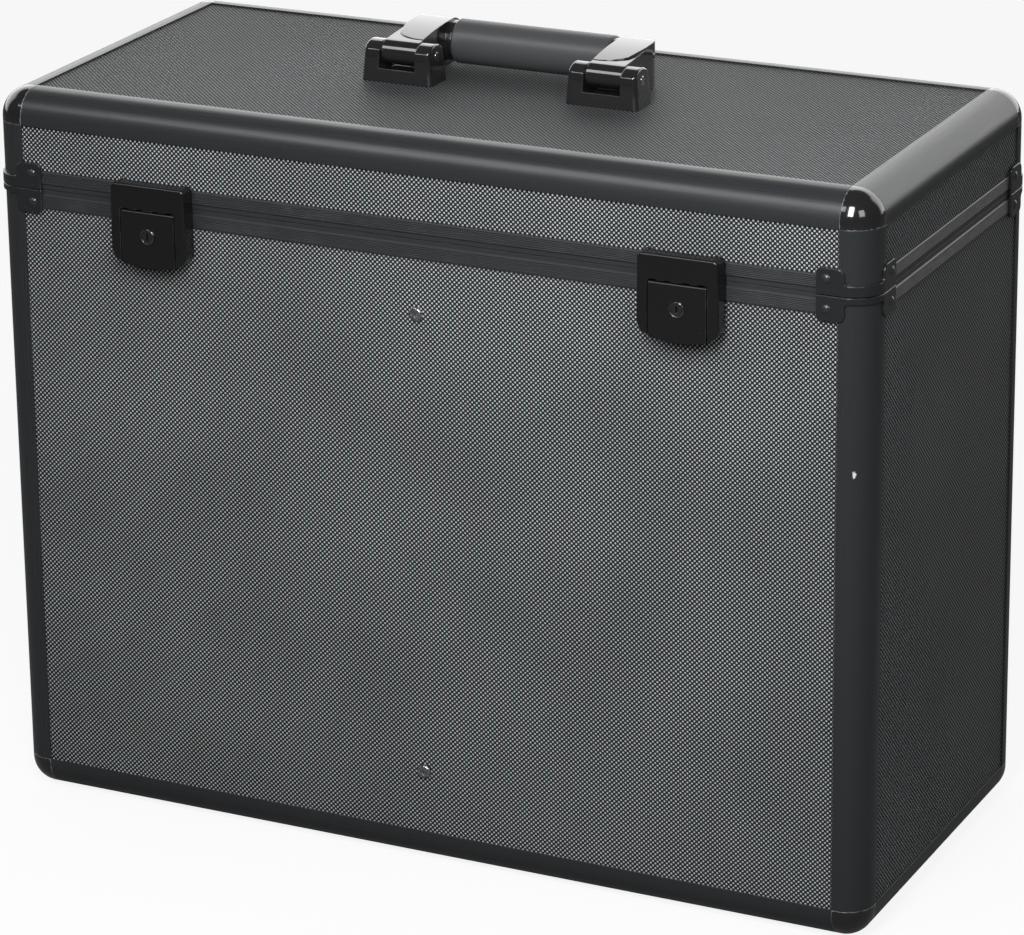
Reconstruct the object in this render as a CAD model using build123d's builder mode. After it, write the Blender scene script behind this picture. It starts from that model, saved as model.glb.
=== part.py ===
"""Moving head flight case.

A board box held in quarter-round edge extrusions, split into a body and a hinged lid. The front faces -Y, the
width runs along X and +Z is up. The origin lies on the ground under the middle of the whole outline, latches and
hinges included. Lengths are in millimetres.
"""

import os
from math import asin, atan2, cos, sin, sqrt

from build123d import *

os.makedirs("parts", exist_ok=True)

# Case outline
case_w = 600.0
case_d = 270.0
case_h = 480.0
lid_h = 62.0
split_gap = 0.2
split_z = case_h - lid_h

# Edge extrusion: a lip over the board, the board's slot, and a flange behind it
edge_leg = 21.4
edge_round = 18.3
lip = 1.2
board = 6.0
flange = 1.2
flange_reach = 20.0
slot_stop = 14.5

# Ball corners
ball_rim_round = 0.4

# Rim profiles that close the body against the lid
lid_rim_h = 12.0
body_rim_h = 13.0
rim_head = 5.0
rim_recess = 0.9
rim_recess_h = 3.2
rim_bevel = 0.7
tongue_w = 2.0
tongue_h = 2.6
groove_clear = 0.9
rib_count = 6
rib_pitch = 1.1
rib_start = 4.9
rib_cut_w = 0.45
rib_cut_d = 0.3

# Corner brackets over the posts at the split
bracket_t = 1.5
ear_near = 17.0
ear_far = 35.0
lid_ear_h = 17.0
body_ear_h = 16.0
lid_strip_h = 7.0
body_strip_h = 4.5
ear_round_near = 5.0
ear_round_far = 3.5
ear_round_foot = 2.5
ear_chamfer = 0.35

# Rivets
rivet_shank_r = 1.6
rivet_head_r = 3.0
rivet_head_h = 1.4
rivet_tail_r = 2.6
rivet_tail_h = 1.0
hole_clear = 0.05
bracket_rivet_in = 28.5
lid_rivet_z = split_z + 10.3
body_rivet_z = split_z - 8.5

# Latches
latch_x = 181.0
latch_half_w = 27.0
latch_taper = 0.8
latch_out = 13.0
latch_plate = 2.0
latch_top_z = split_z + 15.6
latch_shoulder_z = split_z - 33.5
latch_low_z = split_z - 38.5
latch_corner_round = 3.0
latch_foot_round = 10.0
latch_edge_round = 1.7
lever_half_w = 18.9
lever_gap = 0.8
lever_top_z = split_z - 1.5
lever_heel_round = 1.6
bar_low_z = split_z - 0.9
bar_notch_h = 0.8
bar_notch_w = 5.0
bar_notch_x = (5.7, 15.9)
claw_wall_back = 1.6
lip_back = 4.0
pivot_out = 7.5
pivot_z = split_z - 6.5
claw_pivot_out = 6.5
claw_pivot_z = split_z - 26.5
latch_eye_r = 2.8
latch_pin_r = 1.5
pin_seat_clear = 0.02
pin_run_clear = 0.06
lever_flange_x = 12.5
lever_flange_t = 2.0
lug_x = 15.2
lug_t = 1.6
claw_flange_x = 20.2
claw_flange_t = 2.0
base_half_w = 17.5
base_t = 1.5
base_low_z = split_z - 34.5
base_top_z = split_z - 9.0
base_rivet_x = 11.0
base_rivet_z = (split_z - 30.5, split_z - 23.2)

# Key lock in each lever
lock_z = split_z - 17.5
lock_ring_r = 5.2
lock_proud = 1.0
lock_back = 8.0
plug_r = 3.9
plug_clear = 0.06
plug_recess = 0.4
plug_back = 4.6
cam_t = 1.4
cam_w = 5.0
cam_r = 9.0
keyway_w = 1.2
keyway_h = 5.0
keyway_d = 3.0
strike_out = 6.4
strike_lip = 1.2
strike_x = 5.7
strike_leg_x = 10.0
strike_leg_t = 1.4
strike_h = 5.0

# Catches on the lid rim
catch_half_w = 19.0
catch_t = 1.3
catch_low_z = split_z + 1.6
toe_low_z = split_z + 10.7
toe_top_z = split_z + 13.2
toe_out = 3.7
catch_rivet_x = 12.0
catch_rivet_z = split_z + 6.1

# Rear hinges
hinge_x = 180.0
knuckle_r = 3.4
knuckle_w = 14.0
knuckle_count = 5
knuckle_gap = 0.3
hinge_pin_r = 1.5
leaf_t = 1.4
leaf_h = 22.0
leaf_clear = 0.5
leaf_rivet_x = 25.0
leaf_rivet_off = 9.0

# Folding handle
mount_x = 71.5
mount_base_w = 50.0
mount_top_w = 45.6
mount_base_d = 24.0
mount_top_d = 20.6
mount_h = 25.2
mount_round = 3.0
window_half_w = 12.5
sill_h = 8.8
sill_t = 2.6
mount_floor = 2.7
mount_edge_round = 1.2
mount_rear_h = 5.6
mount_rear_t = 2.4
mount_sill_round = 0.8
handle_y = -5.0
handle_rise = 17.7
ear_crown = 8.0
barrel_r = 8.0
arm_half_w = 12.1
handle_pin_r = 2.5
handle_pin_proud = 0.3
grip_back = 46.5
grip_rise = 15.9
grip_r = 14.4
grip_half_l = 55.0
arm_end_r = 14.4
arm_corner_round = 21.0
arm_waist = 1.2
neck_clear = 0.03
neck_drop = 1.6
neck_front_y = 4.0
neck_turn_x = 8.5
neck_turn_y = 12.0
neck_side_y = 44.0
neck_side_bulge = 0.9
neck_front_bulge = 1.6
collar_r = 13.0
collar_gap = 0.2
core_w = 16.0
core_t = 4.0
core_into_arm = 5.0
core_clear = 0.1
mount_screw_x = 18.0
mount_screw_r = 1.9
mount_screw_depth = 9.0
mount_screw_head_r = 3.8
mount_screw_head_h = 2.2

# Divider and its screws
divider_t = 9.0
divider_top_z = split_z - 18.0
divider_gap = 0.1
divider_screw_z = (63.5, split_z - 48.0)
screw_r = 1.9
screw_length = 26.0
screw_head_r = 4.5
screw_head_h = 2.6
screw_head_round = 1.6
cross_l = 4.8
cross_w = 1.1
cross_d = 1.3

# Foam
foam_gap = 0.3
wall_foam = 10.0
floor_foam = 20.0
divider_foam = 8.0
wall_foam_top_z = split_z - 18.0
lid_foam = 25.0
lid_foam_side_gap = 1.8
foam_pocket_clear = 1.2

# Values worked out from the sizes above
half_w = case_w / 2
half_d = case_d / 2
board_in = lip + board
inner = board_in + flange
hinge_out = 2 * knuckle_r
case_y = (latch_out + lock_proud - hinge_out) / 2
front_y = case_y - half_d
back_y = case_y + half_d
mid_plane = Plane.XZ.offset(-case_y)
panel_top_z = case_h - lip
hinge_y = back_y + knuckle_r
axis_y = case_y + handle_y
axis_z = panel_top_z + handle_rise
grip_y = axis_y + grip_back
grip_z = panel_top_z + grip_rise
latch_centres = {"left": -latch_x, "right": latch_x}
sides = (-1, 1)


def finish(piece, name):
    """Name a finished piece and write its file."""
    piece.part.label = name
    export_step(piece.part, f"parts/{name}.step")


def block(corner, opposite, mode=Mode.ADD):
    """A box between two opposite corners."""
    a = Vector(corner)
    b = Vector(opposite)
    size = b - a
    with Locations((a + b) * 0.5):
        Box(abs(size.X), abs(size.Y), abs(size.Z), mode=mode)


def bore(centre, direction, radius, length, mode=Mode.SUBTRACT):
    """A round hole, or with Mode.ADD a round bar, centred on a point."""
    with BuildSketch(Plane(origin=centre, z_dir=direction)) as disc:
        Circle(radius)
    extrude(disc.sketch, amount=length / 2, both=True, mode=mode)


def front(out):
    """The Y of a plane that stands this far out from the front."""
    return front_y - out


def rivet(seat, outward, lift, depth):
    """A domed rivet: its head stands on the plane lifted from the seat, its tail lies at this depth."""
    dome_r = (rivet_head_r**2 + rivet_head_h**2) / (2 * rivet_head_h)
    half_turn = asin(rivet_head_r / dome_r) / 2
    dome_z = lift + rivet_head_h - dome_r
    mid = (dome_r * sin(half_turn), dome_z + dome_r * cos(half_turn))
    side = Vector(0, 0, 1)
    with BuildSketch(Plane(origin=seat, x_dir=Vector(outward).cross(side), z_dir=side)) as half_section:
        with BuildLine():
            Polyline(
                (0, lift + rivet_head_h),
                (0, -depth - rivet_tail_h),
                (rivet_tail_r, -depth - rivet_tail_h),
                (rivet_tail_r, -depth),
                (rivet_shank_r, -depth),
                (rivet_shank_r, lift),
                (rivet_head_r, lift),
            )
            ThreePointArc((rivet_head_r, lift), mid, (0, lift + rivet_head_h))
        make_face()
    revolve(half_section.sketch, axis=Axis(seat, outward))


def edge_bar(middle, inward_a, inward_b, length):
    """One edge extrusion, drawn in the corner of two faces and run both ways from its middle."""
    mid = edge_round * (1 - sqrt(0.5))
    plane = Plane(origin=middle, x_dir=inward_a, z_dir=Vector(inward_a).cross(Vector(inward_b)))
    with BuildSketch(plane) as section:
        with BuildLine():
            ThreePointArc((0, edge_round), (mid, mid), (edge_round, 0))
            Polyline(
                (edge_round, 0),
                (edge_leg, 0),
                (edge_leg, lip),
                (slot_stop, lip),
                (slot_stop, board_in),
                (flange_reach, board_in),
                (flange_reach, inner),
                (inner, inner),
                (inner, flange_reach),
                (board_in, flange_reach),
                (board_in, slot_stop),
                (lip, slot_stop),
                (lip, edge_leg),
                (0, edge_leg),
                (0, edge_round),
            )
        make_face()
    extrude(section.sketch, amount=length / 2, both=True)


def corner_posts(low, high):
    """The four upright edges between two heights."""
    for sx in sides:
        for sy in sides:
            middle = (sx * half_w, case_y + sy * half_d, (low + high) / 2)
            edge_bar(middle, (-sx, 0, 0), (0, -sy, 0), high - low)


def long_edges(height, up):
    """The front and back edges of the floor or of the lid's top."""
    for sy in sides:
        edge_bar((0, case_y + sy * half_d, height), (0, -sy, 0), (0, 0, up), case_w - 2 * edge_leg)


def short_edges(height, up):
    """The left and right edges of the floor or of the lid's top."""
    for sx in sides:
        edge_bar((sx * half_w, case_y, height), (-sx, 0, 0), (0, 0, up), case_d - 2 * edge_leg)


def ball_corners(height, up):
    """Four round corner caps, slotted for the three boards that meet in each."""
    corner = Vector(-half_w, front_y, height)

    def at(u, v, w):
        return corner + Vector(u, v, up * w)

    def depths(edge):
        d = edge.position_at(0.5) - corner
        return sorted((d.X, d.Y, up * d.Z))

    block(at(0, 0, 0), at(edge_leg, edge_leg, edge_leg))
    outer = edges().filter_by(lambda e: (e.center() - corner).length < 0.6 * edge_leg)
    fillet(outer, edge_round)
    mouth = edges().filter_by(lambda e: depths(e)[2] > edge_leg - 0.01 and depths(e)[0] < edge_round / 3)
    fillet(mouth, ball_rim_round)
    past = edge_leg + 1
    block(at(inner, inner, inner), at(past, past, past), Mode.SUBTRACT)
    block(at(lip, slot_stop, slot_stop), at(board_in, past, past), Mode.SUBTRACT)
    block(at(slot_stop, lip, slot_stop), at(past, board_in, past), Mode.SUBTRACT)
    block(at(slot_stop, slot_stop, lip), at(past, past, board_in), Mode.SUBTRACT)
    mirror(about=Plane.YZ)
    mirror(about=mid_plane)


def rim_bar(face_middle, inward, up, length, height, has_tongue):
    """One rim profile: a ribbed face, a slot for the board, and a tongue or its groove at the split."""
    tongue_v = (lip + board_in) / 2 + 1.2
    plane = Plane(origin=face_middle, x_dir=inward, z_dir=Vector(inward).cross(Vector(0, 0, up)))
    with BuildSketch(plane) as section:
        with BuildLine():
            Polyline(
                (rim_recess, split_gap),
                (rim_recess, rim_recess_h),
                (0, rim_recess_h + rim_bevel),
                (0, height - rim_bevel),
                (rim_bevel, height),
                (lip, height),
                (lip, rim_head),
                (board_in, rim_head),
                (board_in, height),
                (inner, height),
                (inner, split_gap),
                (rim_recess, split_gap),
            )
        make_face()
        for k in range(rib_count):
            with Locations((0, rib_start + k * rib_pitch)):
                Rectangle(2 * rib_cut_d, rib_cut_w, mode=Mode.SUBTRACT)
        if has_tongue:
            with Locations((tongue_v, (rim_head / 2 - tongue_h) / 2)):
                Rectangle(tongue_w, rim_head / 2 + tongue_h)
        else:
            with Locations((tongue_v, (tongue_h + groove_clear) / 2)):
                Rectangle(tongue_w + 2 * groove_clear, tongue_h + groove_clear, mode=Mode.SUBTRACT)
    extrude(section.sketch, amount=length / 2, both=True)


def rims_long(up, height, has_tongue, rivet_z):
    """The front and back rims of the lid or the body, drilled for the bracket rivets."""
    for sy in sides:
        rim_bar((0, case_y + sy * half_d, split_z), (0, -sy, 0), up, case_w - 2 * edge_leg, height, has_tongue)
    for sx in sides:
        hole = (sx * (half_w - bracket_rivet_in), case_y, rivet_z)
        bore(hole, (0, 1, 0), rivet_shank_r + hole_clear, case_d + edge_leg)


def rims_short(up, height, has_tongue, rivet_z):
    """The left and right rims of the lid or the body, drilled for the bracket rivets."""
    for sx in sides:
        rim_bar((sx * half_w, case_y, split_z), (-sx, 0, 0), up, case_d - 2 * edge_leg, height, has_tongue)
    for sy in sides:
        hole = (0, case_y + sy * (half_d - bracket_rivet_in), rivet_z)
        bore(hole, (1, 0, 0), rivet_shank_r + hole_clear, case_w + edge_leg)


def rim_brackets(up, ear_h, strip_h, rivet_z):
    """Four pressed brackets that wrap the posts at the split, an ear on each side of the corner."""
    corner = Vector(-half_w, front_y, split_z)
    mid = edge_round * (1 - sqrt(0.5))
    outer_mid = mid - bracket_t * sqrt(0.5)

    def plan(u, v):
        return (corner.X + u, corner.Y + v)

    def thickness_edges(along, height):
        """The short edges through the plate at a distance from the corner and a height from the split."""
        found = []
        for e in edges():
            d = e.center() - corner
            is_short = abs(e.length - bracket_t) < 0.01
            if is_short and abs(max(d.X, d.Y) - along) < 0.01 and abs(up * d.Z - height) < 0.01:
                found.append(e)
        return found

    def outside_edges(middle, reach):
        """The edges that lie all along the bracket's outer face."""
        found = []
        for e in edges():
            spots = [e.position_at(t) - middle for t in (0, 0.5, 1)]
            past = [Vector(min(d.X, 0), min(d.Y, 0), 0) for d in spots]
            out = [p.length for p in past]
            if all(abs(o - reach) < 0.01 for o in out):
                found.append(e)
        return found

    with BuildSketch(Plane.XY.offset(split_z + up * split_gap)) as band:
        with BuildLine():
            Polyline(plan(edge_round, 0), plan(ear_far, 0), plan(ear_far, -bracket_t), plan(edge_round, -bracket_t))
            ThreePointArc(plan(edge_round, -bracket_t), plan(outer_mid, outer_mid), plan(-bracket_t, edge_round))
            Polyline(plan(-bracket_t, edge_round), plan(-bracket_t, ear_far), plan(0, ear_far), plan(0, edge_round))
            ThreePointArc(plan(0, edge_round), plan(mid, mid), plan(edge_round, 0))
        make_face()
    extrude(band.sketch, amount=up * (ear_h - split_gap))
    low = corner + Vector(-2 * bracket_t, -2 * bracket_t, up * strip_h)
    high = corner + Vector(ear_near, ear_near, up * (ear_h + 1))
    block(low, high, Mode.SUBTRACT)
    fillet(thickness_edges(ear_near, ear_h), ear_round_near)
    fillet(thickness_edges(ear_near, strip_h), ear_round_foot)
    fillet(thickness_edges(ear_far, ear_h), ear_round_far)
    middle = corner + Vector(edge_round, edge_round, 0)
    chamfer(outside_edges(middle, edge_round + bracket_t), ear_chamfer)
    hole_r = rivet_shank_r + hole_clear
    bore((corner.X + bracket_rivet_in, corner.Y, rivet_z), (0, 1, 0), hole_r, 4 * bracket_t)
    bore((corner.X, corner.Y + bracket_rivet_in, rivet_z), (1, 0, 0), hole_r, 4 * bracket_t)
    mirror(about=Plane.YZ)
    mirror(about=mid_plane)


def bracket_rivets(rivet_z):
    """Eight rivets, one through each bracket ear."""
    for sx in sides:
        for sy in sides:
            front_seat = (sx * (half_w - bracket_rivet_in), case_y + sy * half_d, rivet_z)
            side_seat = (sx * half_w, case_y + sy * (half_d - bracket_rivet_in), rivet_z)
            rivet(front_seat, (0, sy, 0), bracket_t, inner)
            rivet(side_seat, (sx, 0, 0), bracket_t, inner)


def wall_board(plane, width, low, high, holes):
    """A side board between two heights, drilled at its holes: radius, place along the wall, height."""
    with BuildSketch(plane) as outline:
        with Locations((0, (low + high) / 2)):
            Rectangle(width, high - low)
        for radius, along, height in holes:
            with Locations((along, height)):
                Circle(radius, mode=Mode.SUBTRACT)
    extrude(outline.sketch, amount=-board)


rivet_hole_r = rivet_shank_r + hole_clear
screw_hole_r = screw_r + hole_clear
board_w = case_w - 2 * slot_stop
board_d = case_d - 2 * slot_stop
front_board_plane = Plane(origin=(0, front_y + lip, 0), x_dir=(1, 0, 0), z_dir=(0, -1, 0))
back_board_plane = Plane(origin=(0, back_y - lip, 0), x_dir=(-1, 0, 0), z_dir=(0, 1, 0))
left_board_plane = Plane(origin=(lip - half_w, case_y, 0), x_dir=(0, -1, 0), z_dir=(-1, 0, 0))
right_board_plane = Plane(origin=(half_w - lip, case_y, 0), x_dir=(0, 1, 0), z_dir=(1, 0, 0))


def holes_beside(rivet_z, along):
    """The two bracket rivet holes near a board's ends."""
    return [(rivet_hole_r, s * along, rivet_z) for s in sides]


long_wall_rivets = half_w - bracket_rivet_in
short_wall_rivets = half_d - bracket_rivet_in
latch_holes = [
    (rivet_hole_r, sx * latch_x + s * base_rivet_x, z) for sx in sides for s in sides for z in base_rivet_z
]
divider_holes = [(screw_hole_r, 0, z) for z in divider_screw_z]
leaf_places = [sx * hinge_x + k * leaf_rivet_x for sx in sides for k in (-1, 0, 1)]
body_leaf_holes = [(rivet_hole_r, x, split_z - leaf_rivet_off) for x in leaf_places]
lid_leaf_holes = [(rivet_hole_r, x, split_z + leaf_rivet_off) for x in leaf_places]
catch_holes = [(rivet_hole_r, sx * latch_x + s * catch_rivet_x, catch_rivet_z) for sx in sides for s in sides]
body_board_top = split_z - rim_head
lid_board_low = split_z + rim_head
lid_board_high = case_h - slot_stop

# Body boards
body_long_holes = holes_beside(body_rivet_z, long_wall_rivets)
body_short_holes = holes_beside(body_rivet_z, short_wall_rivets)
with BuildPart() as body_front_panel:
    holes = body_long_holes + latch_holes + divider_holes
    wall_board(front_board_plane, board_w, slot_stop, body_board_top, holes)
finish(body_front_panel, "body_front_panel")

with BuildPart() as body_back_panel:
    holes = body_long_holes + body_leaf_holes + divider_holes
    wall_board(back_board_plane, board_w, slot_stop, body_board_top, holes)
finish(body_back_panel, "body_back_panel")

with BuildPart() as body_left_panel:
    wall_board(left_board_plane, board_d, slot_stop, body_board_top, body_short_holes)
finish(body_left_panel, "body_left_panel")

with BuildPart() as body_right_panel:
    wall_board(right_board_plane, board_d, slot_stop, body_board_top, body_short_holes)
finish(body_right_panel, "body_right_panel")

with BuildPart() as body_bottom_panel:
    with BuildSketch(Plane.XY.offset(lip)):
        with Locations((0, case_y)):
            Rectangle(board_w, board_d)
    extrude(amount=board)
finish(body_bottom_panel, "body_bottom_panel")

# Body frame
with BuildPart() as body_corner_posts:
    corner_posts(edge_leg, split_z - split_gap)
finish(body_corner_posts, "body_corner_posts")

with BuildPart() as body_edges_long:
    long_edges(0, 1)
finish(body_edges_long, "body_edges_long")

with BuildPart() as body_edges_short:
    short_edges(0, 1)
finish(body_edges_short, "body_edges_short")

with BuildPart() as body_ball_corners:
    ball_corners(0, 1)
finish(body_ball_corners, "body_ball_corners")

with BuildPart() as body_rims_long:
    rims_long(-1, body_rim_h, True, body_rivet_z)
    for radius, along, height in body_leaf_holes:
        bore((along, back_y, height), (0, 1, 0), radius, 4 * inner)
finish(body_rims_long, "body_rims_long")

with BuildPart() as body_rims_short:
    rims_short(-1, body_rim_h, True, body_rivet_z)
finish(body_rims_short, "body_rims_short")

with BuildPart() as body_brackets:
    rim_brackets(-1, body_ear_h, body_strip_h, body_rivet_z)
finish(body_brackets, "body_brackets")

with BuildPart() as body_bracket_rivets:
    bracket_rivets(body_rivet_z)
finish(body_bracket_rivets, "body_bracket_rivets")

# Lid boards
lid_long_holes = holes_beside(lid_rivet_z, long_wall_rivets)
lid_short_holes = holes_beside(lid_rivet_z, short_wall_rivets)
with BuildPart() as lid_strips_long:
    wall_board(front_board_plane, board_w, lid_board_low, lid_board_high, lid_long_holes + catch_holes)
    wall_board(back_board_plane, board_w, lid_board_low, lid_board_high, lid_long_holes + lid_leaf_holes)
finish(lid_strips_long, "lid_strips_long")

with BuildPart() as lid_strips_short:
    wall_board(left_board_plane, board_d, lid_board_low, lid_board_high, lid_short_holes)
    wall_board(right_board_plane, board_d, lid_board_low, lid_board_high, lid_short_holes)
finish(lid_strips_short, "lid_strips_short")

mount_screw_places = [(sx * mount_x + s * mount_screw_x, axis_y) for sx in sides for s in sides]
with BuildPart() as lid_top_panel:
    with BuildSketch(Plane.XY.offset(panel_top_z)):
        with Locations((0, case_y)):
            Rectangle(board_w, board_d)
        with Locations(*mount_screw_places):
            Circle(mount_screw_r + hole_clear, mode=Mode.SUBTRACT)
    extrude(amount=-board)
finish(lid_top_panel, "lid_top_panel")

# Lid frame
with BuildPart() as lid_corner_posts:
    corner_posts(split_z + split_gap, case_h - edge_leg)
finish(lid_corner_posts, "lid_corner_posts")

with BuildPart() as lid_edges_long:
    long_edges(case_h, -1)
finish(lid_edges_long, "lid_edges_long")

with BuildPart() as lid_edges_short:
    short_edges(case_h, -1)
finish(lid_edges_short, "lid_edges_short")

with BuildPart() as lid_ball_corners:
    ball_corners(case_h, -1)
finish(lid_ball_corners, "lid_ball_corners")

with BuildPart() as lid_rims_long:
    rims_long(1, lid_rim_h, False, lid_rivet_z)
    for radius, along, height in lid_leaf_holes:
        bore((along, back_y, height), (0, 1, 0), radius, 4 * inner)
    for radius, along, height in catch_holes:
        bore((along, front_y, height), (0, 1, 0), radius, 4 * inner)
finish(lid_rims_long, "lid_rims_long")

with BuildPart() as lid_rims_short:
    rims_short(1, lid_rim_h, False, lid_rivet_z)
finish(lid_rims_short, "lid_rims_short")

with BuildPart() as lid_brackets:
    rim_brackets(1, lid_ear_h, lid_strip_h, lid_rivet_z)
finish(lid_brackets, "lid_brackets")

with BuildPart() as lid_bracket_rivets:
    bracket_rivets(lid_rivet_z)
finish(lid_bracket_rivets, "lid_bracket_rivets")


def latch_outline():
    """The latch's outline from the front, about its own centre: sides that lean in and a rounded foot."""
    with BuildLine() as outline:
        Polyline(
            (-latch_half_w, latch_shoulder_z),
            (-latch_half_w + latch_taper, latch_top_z),
            (latch_half_w - latch_taper, latch_top_z),
            (latch_half_w, latch_shoulder_z),
        )
        ThreePointArc(
            (latch_half_w, latch_shoulder_z),
            (0, latch_low_z),
            (-latch_half_w, latch_shoulder_z),
        )
    make_face(outline.edges())
    fillet(vertices().filter_by(lambda v: abs(v.Y - latch_shoulder_z) < 0.01), latch_foot_round)


def latch_plane(centre, out):
    """The plane a latch is drawn on, this far out from the case's front, looking at the front."""
    return Plane(origin=(centre, front(out), 0), x_dir=(1, 0, 0), z_dir=(0, -1, 0))


def side_plane(x):
    """A plane across the case at x, drawn in distance out from the front and height."""
    return Plane(origin=(x, front_y, 0), x_dir=(0, -1, 0), z_dir=(-1, 0, 0))


def latch_claw(centre):
    """The outer cover: a plate with two legs, walls behind its outline, a lip on top and pivot flanges."""
    with BuildSketch(latch_plane(centre, latch_out - latch_plate)) as face:
        latch_outline()
        fillet(vertices().group_by(Axis.Y)[-1], latch_corner_round)
        cut_h = bar_low_z - latch_low_z + latch_plate
        with Locations((0, bar_low_z - cut_h / 2)):
            Rectangle(2 * (lever_half_w + lever_gap), cut_h, mode=Mode.SUBTRACT)
        for s in sides:
            for x in bar_notch_x:
                with Locations((s * x, bar_low_z)):
                    Rectangle(bar_notch_w, 2 * bar_notch_h, mode=Mode.SUBTRACT)
    extrude(face.sketch, amount=latch_plate)
    face_edges = faces().sort_by(Axis.Y)[0].edges()
    hem = face_edges.filter_by(lambda e: is_latch_hem(e, centre))
    fillet(hem, latch_edge_round)
    with BuildSketch(latch_plane(centre, claw_wall_back)) as walls:
        latch_outline()
        fillet(vertices().group_by(Axis.Y)[-1], latch_corner_round)
        offset(amount=-latch_plate, mode=Mode.SUBTRACT)
        with Locations((0, (latch_low_z + latch_top_z) / 2)):
            inner_w = 2 * (lever_half_w + lever_gap)
            Rectangle(inner_w, latch_top_z - latch_low_z + 1, mode=Mode.SUBTRACT)
    extrude(walls.sketch, amount=latch_out - latch_plate - claw_wall_back)
    lip_x = lever_half_w + lever_gap + 1
    block(
        (centre - lip_x, front(lip_back), latch_top_z - latch_plate),
        (centre + lip_x, front(latch_out - latch_plate), latch_top_z),
    )
    for s in sides:
        with BuildSketch(side_plane(centre + s * (claw_flange_x + claw_flange_t / 2))) as eye:
            with Locations((claw_pivot_out, claw_pivot_z)):
                Circle(latch_eye_r)
            with Locations(((claw_pivot_out + latch_out - latch_plate) / 2, claw_pivot_z)):
                Rectangle(latch_out - latch_plate - claw_pivot_out, 2 * latch_eye_r)
            with Locations((claw_pivot_out, claw_pivot_z)):
                Circle(latch_pin_r + pin_run_clear, mode=Mode.SUBTRACT)
        extrude(eye.sketch, amount=claw_flange_t / 2, both=True)


def is_latch_hem(edge, centre):
    """True for the edges round the outside of the claw's face, not those of the lever's cut-out."""
    p = edge.position_at(0.5)
    inside = abs(p.X - centre) < lever_half_w + 2 * lever_gap
    return not (inside and p.Z < latch_top_z - 1)


def latch_lever(centre):
    """The flap: a plate with two flanges behind it that carry both pivots, and a hole for the lock."""
    with BuildSketch(latch_plane(centre, latch_out - latch_plate)) as face:
        latch_outline()
        with Locations((0, (latch_low_z + lever_top_z) / 2)):
            Rectangle(2 * lever_half_w, lever_top_z - latch_low_z, mode=Mode.INTERSECT)
        with Locations((0, lock_z)):
            Circle(lock_ring_r + hole_clear, mode=Mode.SUBTRACT)
    extrude(face.sketch, amount=latch_plate)
    heel = edges().filter_by(Axis.X).group_by(Axis.Z)[-1].sort_by(Axis.Y)[0]
    fillet(heel, lever_heel_round)
    for s in sides:
        with BuildSketch(side_plane(centre + s * (lever_flange_x + lever_flange_t / 2))) as cheek:
            with Locations((pivot_out, pivot_z), (claw_pivot_out, claw_pivot_z)):
                Circle(latch_eye_r)
            make_hull()
            web_top = pivot_z + latch_eye_r
            web_low = claw_pivot_z - latch_eye_r
            web_back = pivot_out
            with Locations(((web_back + latch_out - latch_plate) / 2, (web_top + web_low) / 2)):
                Rectangle(latch_out - latch_plate - web_back, web_top - web_low)
            with Locations((pivot_out, pivot_z)):
                Circle(latch_pin_r + pin_run_clear, mode=Mode.SUBTRACT)
            with Locations((claw_pivot_out, claw_pivot_z)):
                Circle(latch_pin_r + pin_seat_clear, mode=Mode.SUBTRACT)
        extrude(cheek.sketch, amount=lever_flange_t / 2, both=True)


def latch_base(centre):
    """The plate riveted to the body: it steps over the rim, and carries the pivot lugs and the lock's strike."""
    step_z = split_z - body_rim_h - leaf_clear
    with BuildSketch(side_plane(centre)) as profile:
        with BuildLine():
            Polyline(
                (-lip, base_low_z),
                (-lip, step_z),
                (0, step_z),
                (0, base_top_z),
                (base_t, base_top_z),
                (base_t, step_z - base_t),
                (base_t - lip, step_z - 2 * base_t),
                (base_t - lip, base_low_z),
                (-lip, base_low_z),
            )
        make_face()
    extrude(profile.sketch, amount=base_half_w, both=True)
    for s in sides:
        with BuildSketch(side_plane(centre + s * (lug_x + lug_t / 2))) as lug:
            with Locations((pivot_out, pivot_z)):
                Circle(latch_eye_r)
            with Locations((base_t / 2, (step_z + base_top_z) / 2)):
                Rectangle(base_t, base_top_z - step_z)
            make_hull()
            with Locations((pivot_out, pivot_z)):
                Circle(latch_pin_r + pin_seat_clear, mode=Mode.SUBTRACT)
        extrude(lug.sketch, amount=lug_t / 2, both=True)
        for z in base_rivet_z:
            bore((centre + s * base_rivet_x, front_y, z), (0, 1, 0), rivet_hole_r, 4 * base_t)
    low = lock_z - strike_h / 2
    high = lock_z + strike_h / 2
    leg_end = strike_leg_x + strike_leg_t
    block((centre + strike_leg_x, front(-lip), low), (centre + leg_end, front(strike_out), high))
    block((centre + strike_x, front(strike_out - strike_lip), low), (centre + leg_end, front(strike_out), high))


def lid_catch(centre):
    """The catch on the lid rim: a plate whose top edge is bent out into a toe for the claw's lip."""
    with BuildSketch(side_plane(centre)) as profile:
        with BuildLine():
            Polyline(
                (0, catch_low_z),
                (0, toe_top_z),
                (toe_out, toe_top_z),
                (toe_out, toe_low_z),
                (catch_t, toe_low_z - catch_t),
                (catch_t, catch_low_z),
                (0, catch_low_z),
            )
        make_face()
    extrude(profile.sketch, amount=catch_half_w, both=True)
    for s in sides:
        bore((centre + s * catch_rivet_x, front_y, catch_rivet_z), (0, 1, 0), rivet_hole_r, 4 * catch_t)


def lock_housing(centre):
    """The ring pressed through the lever round the key plug."""
    with BuildSketch(latch_plane(centre, lock_back)) as ring:
        with Locations((0, lock_z)):
            Circle(lock_ring_r)
            Circle(plug_r + plug_clear, mode=Mode.SUBTRACT)
    extrude(ring.sketch, amount=latch_out + lock_proud - lock_back)
    ring_edge = edges().filter_by(GeomType.CIRCLE).group_by(Axis.Y)[0].sort_by(SortBy.RADIUS)[-1]
    fillet(ring_edge, (lock_ring_r - plug_r) / 3)


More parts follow.
